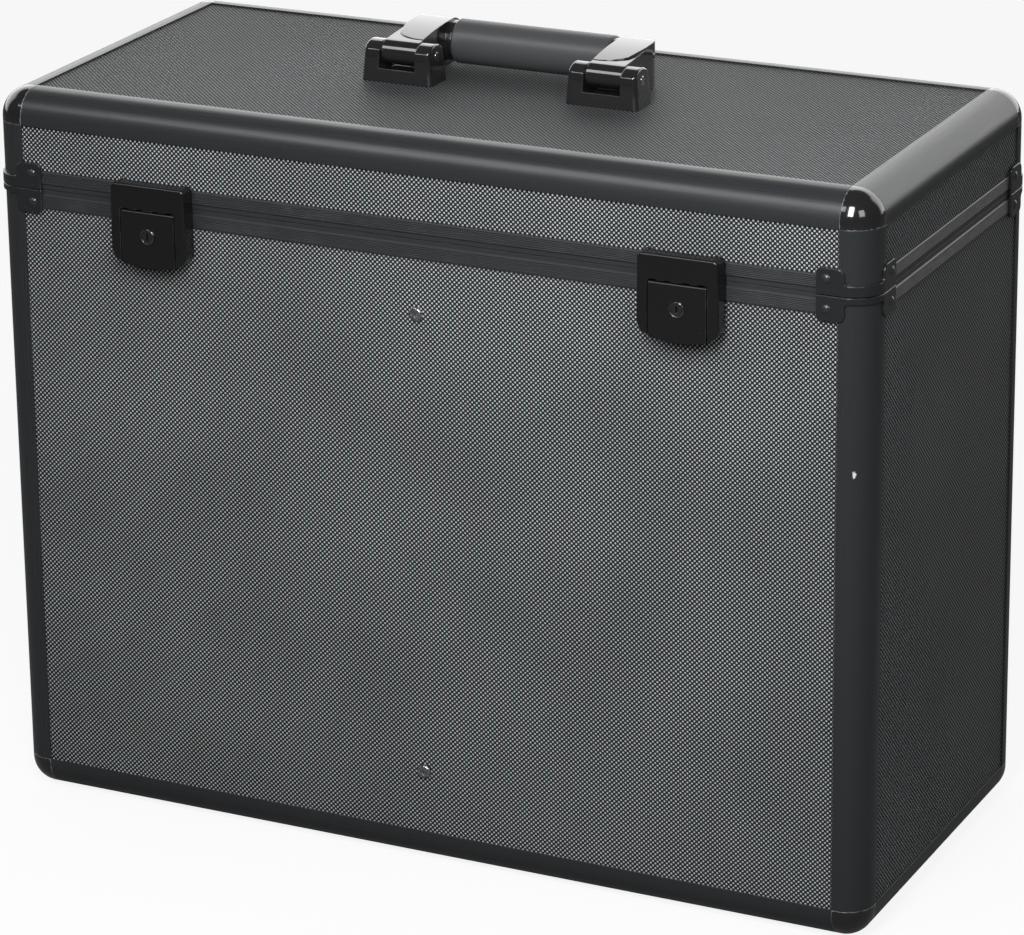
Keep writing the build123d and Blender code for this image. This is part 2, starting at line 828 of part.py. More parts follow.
def key_plug(centre):
    """The plug with its keyway, and the cam on its inner end, which points down while unlocked."""
    plug_front = latch_out + lock_proud - plug_recess
    with BuildSketch(latch_plane(centre, plug_back)) as barrel:
        with Locations((0, lock_z)):
            Circle(plug_r)
    extrude(barrel.sketch, amount=plug_front - plug_back)
    with BuildSketch(latch_plane(centre, plug_back - cam_t)) as cam:
        with Locations((0, lock_z), (0, lock_z - cam_r + cam_w / 2)):
            Circle(cam_w / 2)
        make_hull()
    extrude(cam.sketch, amount=cam_t)
    with BuildSketch(latch_plane(centre, plug_front - keyway_d)) as keyway:
        with Locations((0, lock_z)):
            Rectangle(keyway_w, keyway_h)
    extrude(keyway.sketch, amount=keyway_d, mode=Mode.SUBTRACT)


# Latches, one pair of pieces on each side
for side, centre in latch_centres.items():
    with BuildPart() as claw:
        latch_claw(centre)
    finish(claw, f"latch_claw_{side}")

    with BuildPart() as lever:
        latch_lever(centre)
    finish(lever, f"latch_lever_{side}")

    with BuildPart() as base:
        latch_base(centre)
    finish(base, f"latch_base_{side}")

    with BuildPart() as housing:
        lock_housing(centre)
    finish(housing, f"lock_housing_{side}")

    with BuildPart() as plug:
        key_plug(centre)
    finish(plug, f"key_plug_{side}")

    with BuildPart() as claw_pins:
        pin_length = claw_flange_x + claw_flange_t - lever_flange_x + 0.4
        for s in sides:
            middle = centre + s * (lever_flange_x + pin_length / 2 - 0.2)
            bore((middle, front(claw_pivot_out), claw_pivot_z), (1, 0, 0), latch_pin_r, pin_length, Mode.ADD)
    finish(claw_pins, f"latch_claw_pins_{side}")

with BuildPart() as latch_lever_pins:
    for centre in latch_centres.values():
        pin_length = 2 * (lug_x + lug_t) + 0.4
        bore((centre, front(pivot_out), pivot_z), (1, 0, 0), latch_pin_r, pin_length, Mode.ADD)
finish(latch_lever_pins, "latch_lever_pins")

with BuildPart() as latch_base_rivets:
    for centre in latch_centres.values():
        for s in sides:
            for z in base_rivet_z:
                rivet((centre + s * base_rivet_x, front_y, z), (0, -1, 0), base_t - lip, board_in)
finish(latch_base_rivets, "latch_base_rivets")

with BuildPart() as lid_catches:
    for centre in latch_centres.values():
        lid_catch(centre)
finish(lid_catches, "lid_catches")

with BuildPart() as lid_catch_rivets:
    for centre in latch_centres.values():
        for s in sides:
            rivet((centre + s * catch_rivet_x, front_y, catch_rivet_z), (0, -1, 0), catch_t, inner)
finish(lid_catch_rivets, "lid_catch_rivets")


def hinge_leaf(centre, up, own_first):
    """A leaf with every second knuckle of the hinge; it is cut back round the other leaf's knuckles."""
    leaf_w = knuckle_count * knuckle_w
    reach = knuckle_r + leaf_clear
    low = split_z + up * reach
    block(
        (centre - leaf_w / 2, back_y, low),
        (centre + leaf_w / 2, back_y + leaf_t, split_z + up * leaf_h),
    )
    for k in range(knuckle_count):
        if (k % 2 == 0) != own_first:
            continue
        x = centre + (k - (knuckle_count - 1) / 2) * knuckle_w
        half = (knuckle_w - knuckle_gap) / 2
        bore((x, hinge_y, split_z), (1, 0, 0), knuckle_r, 2 * half, Mode.ADD)
        block((x - half, back_y, split_z), (x + half, back_y + leaf_t, low))
    hinge_clear = pin_seat_clear if own_first else pin_run_clear
    bore((centre, hinge_y, split_z), (1, 0, 0), hinge_pin_r + hinge_clear, leaf_w + 2)
    for k in (-1, 0, 1):
        place = (centre + k * leaf_rivet_x, back_y, split_z + up * leaf_rivet_off)
        bore(place, (0, 1, 0), rivet_hole_r, 4 * leaf_t)


def hinge_rivets(up):
    """The rivets of both hinges' leaves on the lid or on the body."""
    for x in leaf_places:
        rivet((x, back_y, split_z + up * leaf_rivet_off), (0, 1, 0), leaf_t, inner)


with BuildPart() as hinge_body_leaves:
    for sx in sides:
        hinge_leaf(sx * hinge_x, -1, True)
finish(hinge_body_leaves, "hinge_body_leaves")

with BuildPart() as hinge_lid_leaves:
    for sx in sides:
        hinge_leaf(sx * hinge_x, 1, False)
finish(hinge_lid_leaves, "hinge_lid_leaves")

with BuildPart() as hinge_pins:
    for sx in sides:
        bore((sx * hinge_x, hinge_y, split_z), (1, 0, 0), hinge_pin_r, knuckle_count * knuckle_w, Mode.ADD)
finish(hinge_pins, "hinge_pins")

with BuildPart() as hinge_body_rivets:
    hinge_rivets(-1)
finish(hinge_body_rivets, "hinge_body_rivets")

with BuildPart() as hinge_lid_rivets:
    hinge_rivets(1)
finish(hinge_lid_rivets, "hinge_lid_rivets")


def handle_plane(x):
    """A plane across the case at x, drawn in Y and height."""
    return Plane(origin=(x, 0, 0), x_dir=(0, 1, 0), z_dir=(1, 0, 0))


# Handle mounts: a tapered block with a rounded top, opened for the barrel between two ears
with BuildPart() as handle_mounts:
    with BuildSketch(Plane.XY.offset(panel_top_z)):
        with Locations((mount_x, axis_y)):
            RectangleRounded(mount_base_w, mount_base_d, mount_round)
    with BuildSketch(Plane.XY.offset(panel_top_z + mount_h)):
        with Locations((mount_x, axis_y)):
            RectangleRounded(mount_top_w, mount_top_d, mount_round)
    loft()
    with BuildSketch(handle_plane(mount_x)):
        crown_z = panel_top_z + mount_h - ear_crown
        half_depth = mount_base_d / 2 + 1
        with BuildLine():
            Polyline(
                (axis_y - half_depth, crown_z),
                (axis_y - half_depth, panel_top_z),
                (axis_y + half_depth, panel_top_z),
                (axis_y + half_depth, crown_z),
            )
            ThreePointArc(
                (axis_y + half_depth, crown_z),
                (axis_y, panel_top_z + mount_h),
                (axis_y - half_depth, crown_z),
            )
        make_face()
    extrude(amount=mount_base_w, both=True, mode=Mode.INTERSECT)
    fillet(faces().sort_by(Axis.Z)[-1].edges(), mount_edge_round)
    low_x = mount_x - window_half_w
    high_x = mount_x + window_half_w
    past_y = axis_y + mount_base_d
    past_z = panel_top_z + mount_h + 1
    block((low_x, axis_y - mount_base_d, panel_top_z + sill_h), (high_x, past_y, past_z), Mode.SUBTRACT)
    window_y = axis_y - mount_base_d / 2 + sill_t
    block((low_x, window_y, panel_top_z + mount_floor), (high_x, past_y, past_z), Mode.SUBTRACT)
    rear_y = axis_y + mount_base_d / 2 - 2 * mount_rear_t
    rear_z = panel_top_z + mount_rear_h
    block((low_x, rear_y, panel_top_z + mount_floor), (high_x, rear_y + mount_rear_t, rear_z))
    ear_tops = edges().filter_by(lambda e: abs(abs(e.center().X - mount_x) - window_half_w) < 0.01)
    fillet(ear_tops.group_by(Axis.Z)[-1], mount_sill_round)
    bore((mount_x, axis_y, axis_z), (1, 0, 0), handle_pin_r + pin_seat_clear, 2 * mount_base_w)
    for s in sides:
        place = (mount_x + s * mount_screw_x, axis_y, panel_top_z)
        bore(place, (0, 0, 1), mount_screw_r + hole_clear, 2 * mount_screw_depth)
    mirror(about=Plane.YZ)
finish(handle_mounts, "handle_mounts")

ear_face_x = mount_base_w / 2 - (mount_base_w - mount_top_w) / 2 * handle_rise / mount_h
with BuildPart() as handle_pins:
    for sx in sides:
        length = 2 * (ear_face_x + handle_pin_proud)
        bore((sx * mount_x, axis_y, axis_z), (1, 0, 0), handle_pin_r, length, Mode.ADD)
    fillet(edges().filter_by(GeomType.CIRCLE), 2 * handle_pin_proud)
finish(handle_pins, "handle_pins")

with BuildPart() as handle_mount_screws:
    under = panel_top_z - board
    for x, y in mount_screw_places:
        block_z = under - mount_screw_head_h / 2
        bore((x, y, block_z), (0, 0, 1), mount_screw_head_r, mount_screw_head_h, Mode.ADD)
        top = panel_top_z + mount_screw_depth - 0.5
        bore((x, y, (under + top) / 2), (0, 0, 1), mount_screw_r, top - under, Mode.ADD)
finish(handle_mount_screws, "handle_mount_screws")

# Handle arms: a barrel on the pivot pin that sweeps back and swells to the grip's end, with a collar
with BuildPart() as handle_arm_left:
    with BuildSketch(handle_plane(-mount_x)) as side_view:
        with BuildLine():
            half_back = grip_back / 2
            ThreePointArc(
                (axis_y, axis_z + barrel_r),
                (axis_y + half_back, grip_z + arm_end_r - arm_waist),
                (grip_y, grip_z + arm_end_r),
            )
            ThreePointArc(
                (grip_y, grip_z + arm_end_r),
                (grip_y + arm_end_r, grip_z),
                (grip_y, grip_z - arm_end_r),
            )
            ThreePointArc(
                (grip_y, grip_z - arm_end_r),
                (axis_y + half_back, grip_z - arm_end_r + arm_waist),
                (axis_y, axis_z - barrel_r),
            )
            ThreePointArc(
                (axis_y, axis_z - barrel_r),
                (axis_y - barrel_r, axis_z),
                (axis_y, axis_z + barrel_r),
            )
        make_face()
    extrude(side_view.sketch, amount=arm_half_w, both=True)
    back = grip_y + arm_end_r
    with BuildSketch(Plane.XY.offset(panel_top_z)) as top_view:
        with Locations((-mount_x, (axis_y - 2 * barrel_r + back) / 2)):
            Rectangle(2 * arm_half_w, back - axis_y + 2 * barrel_r)
        outer = vertices().group_by(Axis.Y)[-1].sort_by(Axis.X)
        fillet(outer[0], arm_corner_round)
    extrude(top_view.sketch, amount=4 * arm_end_r, mode=Mode.INTERSECT)
    neck_rise = grip_rise + arm_end_r - arm_waist - neck_drop - handle_rise - barrel_r
    slope = atan2(neck_rise, grip_back / 2)
    neck_top = axis_z + barrel_r / cos(slope) + neck_clear
    neck_up = (0, -sin(slope), cos(slope))
    neck_plane = Plane(origin=(-mount_x, axis_y, neck_top), x_dir=(1, 0, 0), z_dir=neck_up)
    past = arm_half_w + 1
    with BuildSketch(neck_plane) as neck:
        with BuildLine():
            Polyline(
                (past, neck_front_y),
                (past, -2 * barrel_r),
                (-past, -2 * barrel_r),
                (-past, neck_side_y),
            )
            ThreePointArc(
                (-past, neck_side_y),
                (-(neck_turn_x + past) / 2 - neck_side_bulge, (neck_turn_y + neck_side_y) / 2),
                (-neck_turn_x, neck_turn_y),
            )
            ThreePointArc(
                (-neck_turn_x, neck_turn_y),
                (0, neck_front_y + neck_front_bulge),
                (past, neck_front_y),
            )
        make_face()
    extrude(neck.sketch, amount=2 * barrel_r, mode=Mode.SUBTRACT)
    collar_l = mount_x - arm_half_w - grip_half_l - collar_gap
    collar_x = -(grip_half_l + collar_gap + collar_l / 2)
    bore((collar_x, grip_y, grip_z), (1, 0, 0), collar_r, collar_l, Mode.ADD)
    pocket = mount_x - arm_half_w + core_into_arm
    block(
        (-(pocket + core_clear), grip_y - core_w / 2 - core_clear, grip_z - core_t / 2 - core_clear),
        (0, grip_y + core_w / 2 + core_clear, grip_z + core_t / 2 + core_clear),
        Mode.SUBTRACT,
    )
    bore((-mount_x, axis_y, axis_z), (1, 0, 0), handle_pin_r + pin_run_clear, 4 * arm_half_w)
finish(handle_arm_left, "handle_arm_left")

with BuildPart() as handle_arm_right:
    mirror(handle_arm_left.part, about=Plane.YZ)
finish(handle_arm_right, "handle_arm_right")

with BuildPart() as handle_grip:
    bore((0, grip_y, grip_z), (1, 0, 0), grip_r, 2 * grip_half_l, Mode.ADD)
    ends = edges().filter_by(GeomType.CIRCLE)
    fillet(ends, 1.5)
    with BuildSketch(handle_plane(0)):
        with Locations((grip_y, grip_z)):
            Rectangle(core_w + 2 * core_clear, core_t + 2 * core_clear)
    extrude(amount=2 * grip_half_l, both=True, mode=Mode.SUBTRACT)
finish(handle_grip, "handle_grip")

with BuildPart() as handle_core:
    with BuildSketch(handle_plane(0)):
        with Locations((grip_y, grip_z)):
            Rectangle(core_w, core_t)
    extrude(amount=mount_x - arm_half_w + core_into_arm, both=True)
finish(handle_core, "handle_core")

# Divider, held by two cross-head screws from the front and two from the back
divider_half_d = half_d - inner - divider_gap
divider_low_z = inner + divider_gap
with BuildPart() as divider_board:
    block(
        (-divider_t / 2, case_y - divider_half_d, divider_low_z),
        (divider_t / 2, case_y + divider_half_d, divider_top_z),
    )
    for z in divider_screw_z:
        for sy in sides:
            bore((0, case_y + sy * half_d, z), (0, 1, 0), screw_hole_r, 2 * (lip + screw_length))
finish(divider_board, "divider_board")

with BuildPart() as divider_screws:
    for z in divider_screw_z:
        for sy in sides:
            seat_y = case_y + sy * (half_d - lip)
            head_y = seat_y + sy * screw_head_h / 2
            shank_y = seat_y - sy * (screw_length - lip) / 2
            bore((0, head_y, z), (0, 1, 0), screw_head_r, screw_head_h, Mode.ADD)
            bore((0, shank_y, z), (0, 1, 0), screw_r, screw_length - lip, Mode.ADD)
    rims = edges().filter_by(GeomType.CIRCLE)
    outer_rims = rims.filter_by(lambda e: abs(e.center().Y - case_y) > half_d - lip + screw_head_h - 0.01)
    fillet(outer_rims, screw_head_round)
    for z in divider_screw_z:
        for sy in sides:
            face_y = case_y + sy * (half_d - lip + screw_head_h)
            deep_y = face_y - sy * cross_d
            block((-cross_l / 2, deep_y, z - cross_w / 2), (cross_l / 2, face_y, z + cross_w / 2), Mode.SUBTRACT)
            block((-cross_w / 2, deep_y, z - cross_l / 2), (cross_w / 2, face_y, z + cross_l / 2), Mode.SUBTRACT)
finish(divider_screws, "divider_screws")

# Foam lining of both bays
wall_out = inner + foam_gap
wall_in = wall_out + wall_foam
floor_low_z = inner + foam_gap
floor_top_z = floor_low_z + floor_foam
wall_low_z = floor_top_z + foam_gap
bay_near_x = divider_t / 2 + foam_gap
bay_half_d = half_d - wall_in - foam_gap

with BuildPart() as floor_pads:
    for sx in sides:
        block(
            (sx * bay_near_x, front_y + wall_out, floor_low_z),
            (sx * (half_w - wall_out), back_y - wall_out, floor_top_z),
        )
finish(floor_pads, "floor_pads")

with BuildPart() as front_wall_pads:
    for sx in sides:
        block(
            (sx * bay_near_x, front_y + wall_out, wall_low_z),
            (sx * (half_w - wall_out), front_y + wall_in, wall_foam_top_z),
        )
finish(front_wall_pads, "front_wall_pads")

with BuildPart() as back_wall_pads:
    for sx in sides:
        block(
            (sx * bay_near_x, back_y - wall_in, wall_low_z),
            (sx * (half_w - wall_out), back_y - wall_out, wall_foam_top_z),
        )
finish(back_wall_pads, "back_wall_pads")

with BuildPart() as end_wall_pads:
    for sx in sides:
        block(
            (sx * (half_w - wall_in), case_y - bay_half_d, wall_low_z),
            (sx * (half_w - wall_out), case_y + bay_half_d, wall_foam_top_z),
        )
finish(end_wall_pads, "end_wall_pads")

with BuildPart() as divider_pads:
    for sx in sides:
        block(
            (sx * bay_near_x, case_y - bay_half_d, wall_low_z),
            (sx * (bay_near_x + divider_foam), case_y + bay_half_d, wall_foam_top_z),
        )
finish(divider_pads, "divider_pads")

lid_foam_top_z = panel_top_z - board - foam_gap
lid_foam_half_w = half_w - flange_reach - lid_foam_side_gap
lid_foam_half_d = half_d - flange_reach - lid_foam_side_gap
with BuildPart() as lid_foam_pad:
    block(
        (-lid_foam_half_w, case_y - lid_foam_half_d, lid_foam_top_z - lid_foam),
        (lid_foam_half_w, case_y + lid_foam_half_d, lid_foam_top_z),
    )
    pocket = mount_screw_head_h + foam_pocket_clear
    for x, y in mount_screw_places:
        place = (x, y, lid_foam_top_z)
        bore(place, (0, 0, 1), mount_screw_head_r + foam_pocket_clear, 2 * pocket)
finish(lid_foam_pad, "lid_foam_pad")
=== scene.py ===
# %% [markdown]
# # A moving head flight case
#
# A black board case for stage lamps: dimpled laminate boards held in quarter-round aluminium edges, glossy
# ball corners, two key latches, a folding handle, and foam-lined bays inside. The exact shapes come from
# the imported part. This lesson gives them their surfaces, swaps the plain foam blocks for foam that looks
# cut and soft, and sets up the studio. Everything is in metres, in the part's own frame: the front faces -Y
# and +Z is up.

import math

import bmesh
import bpy
from mathutils import Matrix, Vector


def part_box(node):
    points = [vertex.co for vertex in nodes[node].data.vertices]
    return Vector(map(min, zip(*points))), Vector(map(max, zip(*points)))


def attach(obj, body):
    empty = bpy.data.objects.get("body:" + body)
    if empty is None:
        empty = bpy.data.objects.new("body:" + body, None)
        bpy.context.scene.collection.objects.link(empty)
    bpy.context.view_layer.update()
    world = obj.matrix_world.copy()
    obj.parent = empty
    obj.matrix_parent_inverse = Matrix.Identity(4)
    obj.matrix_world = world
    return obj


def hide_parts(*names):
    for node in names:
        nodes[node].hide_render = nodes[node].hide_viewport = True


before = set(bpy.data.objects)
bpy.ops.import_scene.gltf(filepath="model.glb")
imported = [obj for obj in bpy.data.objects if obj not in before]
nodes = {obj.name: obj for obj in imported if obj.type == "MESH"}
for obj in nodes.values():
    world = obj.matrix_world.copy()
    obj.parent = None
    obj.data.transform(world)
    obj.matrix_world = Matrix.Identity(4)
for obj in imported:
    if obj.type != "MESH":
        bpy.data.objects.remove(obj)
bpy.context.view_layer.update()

# %% [markdown]
# ## The camera
#
# The photograph was taken from the right of the front and a little above, with a long lens. Its place and
# lens could be guessed by eye, but forty points and lines of the case settle them. The optical axis meets
# the picture above its middle, as in a shot that was cropped afterwards, and a shifted lens gives the same
# framing.

# %% Camera
picture_w, picture_h = 1024, 935
focal_pixels = 4588.26
axis_height = 345.81
case_y = 0.0036
camera_data = bpy.data.cameras.new("camera")
camera_data.sensor_width = 36.0
camera_data.lens = focal_pixels / picture_w * camera_data.sensor_width
camera_data.shift_y = (axis_height - picture_h / 2) / picture_w
camera_data.clip_start, camera_data.clip_end = 0.05, 60.0
camera = bpy.data.objects.new("camera", camera_data)
bpy.context.scene.collection.objects.link(camera)
forward = Vector((-0.41420369, 0.85182269, -0.32067648))
upward = Vector((-0.12932472, 0.29366686, 0.94711926))
facing = Matrix((forward.cross(upward), upward, -forward)).transposed()
camera.matrix_world = Matrix.Translation((1.22443, case_y - 2.51808, 1.25543)) @ facing.to_4x4()
bpy.context.scene.camera = camera
print("lens", round(camera_data.lens, 2), "shift", round(camera_data.shift_y, 4))

# %% [markdown]
# ## Shared effects
#
# An effect that several finishes use is one node group, placed in each with its own values. The groups
# below are made of ordinary math nodes, so a few helpers keep them readable: one for a sum or product, one
# for a soft ramp, one for noise and one for mixing two colours.


# %% Node helpers
def new_group(name, inputs, outputs):
    """An empty node group with named sockets; gives the group, its input node and its output node."""
    group = bpy.data.node_groups.new(name, "ShaderNodeTree")
    for label, kind, value in inputs:
        socket = group.interface.new_socket(label, in_out="INPUT", socket_type="NodeSocket" + kind)
        if value is not None:
            socket.default_value = value
    for label, kind in outputs:
        group.interface.new_socket(label, in_out="OUTPUT", socket_type="NodeSocket" + kind)
    return group, group.nodes.new("NodeGroupInput"), group.nodes.new("NodeGroupOutput")


def maths(tree, operation, *values):
    """A math node fed by sockets or plain numbers; gives its output."""
    node = tree.nodes.new("ShaderNodeMath")
    node.operation = operation
    for socket, value in zip(node.inputs, values):
        if isinstance(value, (int, float)):
            socket.default_value = value
        else:
            tree.links.new(value, socket)
    return node.outputs[0]


def ramp(tree, value, low, high, to_low=0.0, to_high=1.0):
    """A soft ramp of a value between two limits, which may run backwards."""
    node = tree.nodes.new("ShaderNodeMapRange")
    node.interpolation_type = "SMOOTHSTEP"
    tree.links.new(value, node.inputs["Value"])
    for label, number in zip(("From Min", "From Max", "To Min", "To Max"), (low, high, to_low, to_high)):
        node.inputs[label].default_value = number
    return node.outputs["Result"]


def noise(tree, place, scale, detail=2.0):
    """Soft noise on given coordinates."""
    node = tree.nodes.new("ShaderNodeTexNoise")
    node.inputs["Scale"].default_value = scale
    node.inputs["Detail"].default_value = detail
    tree.links.new(place, node.inputs["Vector"])
    return node.outputs[0]


def stretched(tree, place, factors):
    """Coordinates multiplied along each axis, to draw a pattern out."""
    node = tree.nodes.new("ShaderNodeVectorMath")
    node.operation = "MULTIPLY"
    tree.links.new(place, node.inputs[0])
    node.inputs[1].default_value = factors
    return node.outputs[0]


def mixed(tree, factor, first, second):
    """Two colours mixed, each a socket or a plain colour; factor 1 gives the second."""
    node = tree.nodes.new("ShaderNodeMix")
    node.data_type = "RGBA"
    tree.links.new(factor, node.inputs[0])
    for socket, value in ((node.inputs[6], first), (node.inputs[7], second)):
        if isinstance(value, tuple):
            socket.default_value = (*value, 1.0)
        else:
            tree.links.new(value, socket)
    return node.outputs[2]


def axes(tree, place):
    """The X, Y and Z of a place."""
    node = tree.nodes.new("ShaderNodeSeparateXYZ")
    tree.links.new(place, node.inputs[0])
    return node.outputs


# %% [markdown]
# ### Dimples
#
# The laminate is embossed with small round dimples in rows that run at 45 degrees to the case's edges. They
# could be modelled, but there are some hundred thousand of them, each under 2 mm wide. Two cosine waves
# that cross at right angles peak at every dimple, which gives both a height for the bump and a mask for the
# tops, where the laminate paints a paler colour as a painted highlight.


# %% Dimple group
dimple_pitch = 0.0022


def make_dimples():
    """Rows of dimples: how high the surface stands, and a mask of the tops."""
    group, given, out = new_group(
        "dimples",
        [("Across", "Float", 0.0), ("Along", "Float", 0.0), ("Pitch", "Float", dimple_pitch)],
        [("Height", "Float"), ("Top", "Float")],
    )
    turns = maths(group, "DIVIDE", math.sqrt(0.5) * math.tau, given.outputs["Pitch"])
    waves = []
    for operation in ("ADD", "SUBTRACT"):
        diagonal = maths(group, operation, given.outputs["Across"], given.outputs["Along"])
        waves.append(maths(group, "COSINE", maths(group, "MULTIPLY", diagonal, turns)))
    peaks = maths(group, "MULTIPLY", maths(group, "ADD", *waves), 0.5)
    group.links.new(ramp(group, peaks, -0.4, 1.0), out.inputs["Height"])
    # Top: the mask of the dot tops, which carries the laminate's painted highlight.
    group.links.new(ramp(group, peaks, 0.08, 0.62), out.inputs["Top"])
    return group


dimples = make_dimples()

# %% [markdown]
# ### Drawn streaks, dust and eased edges
#
# An extruded bar carries faint lines along its length, which noise drawn out along that axis gives. Every
# outside surface has a few specks of dust. The edges of pressed and cast pieces are never quite sharp, and
# their narrow roundings are what catches the light: the Bevel node bends the shading normal there, and the
# angle between that normal and the true one marks the edge.


# %% Streak, dust and edge groups
def make_streaks():
    """Fine draw lines and broad smears, as a change of roughness and a height."""
    group, given, out = new_group(
        "drawn streaks", [("Place", "Vector", None), ("Amount", "Float", 1.0)],
        [("Roughness change", "Float"), ("Height", "Float")],
    )
    lines = noise(group, given.outputs["Place"], 1100.0, 1.0)
    smears = noise(group, given.outputs["Place"], 45.0, 3.0)
    centred = maths(group, "SUBTRACT", maths(group, "ADD", lines, smears), 1.0)
    change = maths(group, "MULTIPLY", centred, given.outputs["Amount"])
    group.links.new(change, out.inputs["Roughness change"])
    group.links.new(lines, out.inputs["Height"])
    return group


def make_dust():
    """A few small specks, gathered in patches."""
    group, given, out = new_group(
        "dust", [("Place", "Vector", None), ("Amount", "Float", 0.5)], [("Speck", "Float")],
    )
    cells = group.nodes.new("ShaderNodeTexVoronoi")
    cells.inputs["Scale"].default_value = 240.0
    group.links.new(given.outputs["Place"], cells.inputs["Vector"])
    near = ramp(group, cells.outputs["Distance"], 0.09, 0.03)
    patches = ramp(group, noise(group, given.outputs["Place"], 21.0), 0.50, 0.70)
    both = maths(group, "MULTIPLY", near, patches)
    group.links.new(maths(group, "MULTIPLY", both, given.outputs["Amount"]), out.inputs["Speck"])
    return group


def make_eased_edges():
    """A normal that rounds the edges off, and a mask of where they are."""
    group, given, out = new_group(
        "eased edges", [("Radius", "Float", 0.0005)], [("Normal", "Vector"), ("Edge", "Float")],
    )
    bevel = group.nodes.new("ShaderNodeBevel")
    bevel.samples = 6
    group.links.new(given.outputs["Radius"], bevel.inputs["Radius"])
    geometry = group.nodes.new("ShaderNodeNewGeometry")
    product = group.nodes.new("ShaderNodeVectorMath")
    product.operation = "DOT_PRODUCT"
    group.links.new(bevel.outputs[0], product.inputs[0])
    group.links.new(geometry.outputs["Normal"], product.inputs[1])
    group.links.new(bevel.outputs[0], out.inputs["Normal"])
    group.links.new(ramp(group, product.outputs["Value"], 0.985, 0.80), out.inputs["Edge"])
    return group


streaks = make_streaks()
dust = make_dust()
eased_edges = make_eased_edges()
print("groups", [group.name for group in bpy.data.node_groups])


# %% Material helpers
def new_finish(name, color, roughness, metallic=0.0, coat=0.0, specular=0.5):
    """A material; gives it with its node tree, its shader and its object coordinates."""
    made = bpy.data.materials.new(name)
    made.use_nodes = True
    tree = made.node_tree
    shader = tree.nodes["Principled BSDF"]
    shader.inputs["Base Color"].default_value = (*color, 1.0)
    shader.inputs["Roughness"].default_value = roughness
    shader.inputs["Metallic"].default_value = metallic
    shader.inputs["Coat Weight"].default_value = coat
    shader.inputs["Coat Roughness"].default_value = 0.04
    shader.inputs["Specular IOR Level"].default_value = specular
    return made, tree, shader, tree.nodes.new("ShaderNodeTexCoord").outputs["Object"]


def use_group(tree, group, **values):
    """Places a shared effect in a material with its own values or links; gives its outputs."""
    node = tree.nodes.new("ShaderNodeGroup")
    node.node_tree = group
    for label, value in values.items():
        if isinstance(value, (int, float)):
            node.inputs[label].default_value = value
        else:
            tree.links.new(value, node.inputs[label])
    return node.outputs


def add_bump(tree, shader, height, distance, normal=None):
    """A height made into a bump, on top of another normal if one is given."""
    bump = tree.nodes.new("ShaderNodeBump")
    bump.inputs["Distance"].default_value = distance
    tree.links.new(height, bump.inputs["Height"])
    if normal:
        tree.links.new(normal, bump.inputs["Normal"])
    tree.links.new(bump.outputs["Normal"], shader.inputs["Normal"])


# %% [markdown]
# ## Dimpled laminate
#
# The boards are plywood under a black embossed laminate, and only their outer face is dimpled. The dots run
# in the plane of each face, so there is one version for the front and back, one for the ends and one for
# the top and bottom, made by the same function. A slow change of tone keeps the large panels from looking
# printed. On the real board the pale dots are catch-lights on glossy tops; here they are painted highlights,
# a pale colour on the dot tops. Painted shade dims them on the ends, and more on the top and bottom, at a
# level that was set for each face against the photograph.

# %% Laminate
painted_highlight_color = (0.47, 0.495, 0.51)
ground_color = (0.011, 0.012, 0.013)
inside_color = (0.030, 0.028, 0.026)
dust_color = (0.35, 0.35, 0.34)
skin = 0.0030


def laminate(name, across, along, through, middle, outer, painted_highlight_level):
    """Dimpled laminate with painted highlights on the dot tops, on the faces a given distance out from the
    middle, and bare board elsewhere.
    """
    made, tree, shader, place = new_finish(name, ground_color, 0.42, specular=0.2)
    at = axes(tree, place)
    dots = use_group(tree, dimples, Across=at[across], Along=at[along])
    from_middle = maths(tree, "ABSOLUTE", maths(tree, "SUBTRACT", at[through], middle))
    depth = maths(tree, "SUBTRACT", outer, from_middle)
    outside = ramp(tree, depth, skin + 0.0005, skin)
    cloudy = ramp(tree, noise(tree, place, 9.0, 3.0), 0.25, 0.75, 0.90, 1.08)
    toned = tree.nodes.new("ShaderNodeHueSaturation")
    # Painted highlight: a pale colour on the dot tops stands in for catch-lights, scaled for each face as
    # painted shade.
    painted_highlight = tuple(c * painted_highlight_level for c in painted_highlight_color)
    tree.links.new(mixed(tree, dots["Top"], ground_color, painted_highlight), toned.inputs["Color"])
    tree.links.new(cloudy, toned.inputs["Value"])
    speck = use_group(tree, dust, Place=place, Amount=0.25)["Speck"]
    dusty = mixed(tree, speck, toned.outputs["Color"], dust_color)
    grain = ramp(tree, noise(tree, place, 300.0, 3.0), 0.3, 0.7)
    lining = mixed(tree, grain, inside_color, (0.050, 0.047, 0.043))
    tree.links.new(mixed(tree, outside, lining, dusty), shader.inputs["Base Color"])
    tree.links.new(ramp(tree, dots["Top"], 0.0, 1.0, 0.65, 0.45), shader.inputs["Roughness"])
    add_bump(tree, shader, maths(tree, "MULTIPLY", dots["Height"], outside), 0.00015)
    return made


half_w, half_d, half_h, lip = 0.3, 0.135, 0.24, 0.0012
# The last number is the painted highlight level: full on the front and back, dimmed by painted shade on the
# ends and more on the top and bottom.
laminate_front = laminate("laminate front", "X", "Z", "Y", case_y, half_d - lip, 1.0)
laminate_side = laminate("laminate side", "Y", "Z", "X", 0.0, half_w - lip, 0.60)
laminate_flat = laminate("laminate flat", "X", "Y", "Z", half_h, half_h - lip, 0.36)

# %% [markdown]
# ## Anodised edges and rims
#
# Edges, posts and rims are aluminium extrusions, anodised black: satin, almost no colour, with draw lines
# along each bar. Bars run along X, Y or Z, so the same finish is made once for each axis. On the right-hand
# front post the photograph shows one small nick down to bare metal.


# %% Extrusions
nick_squash = (1.0, 0.15, 0.55)


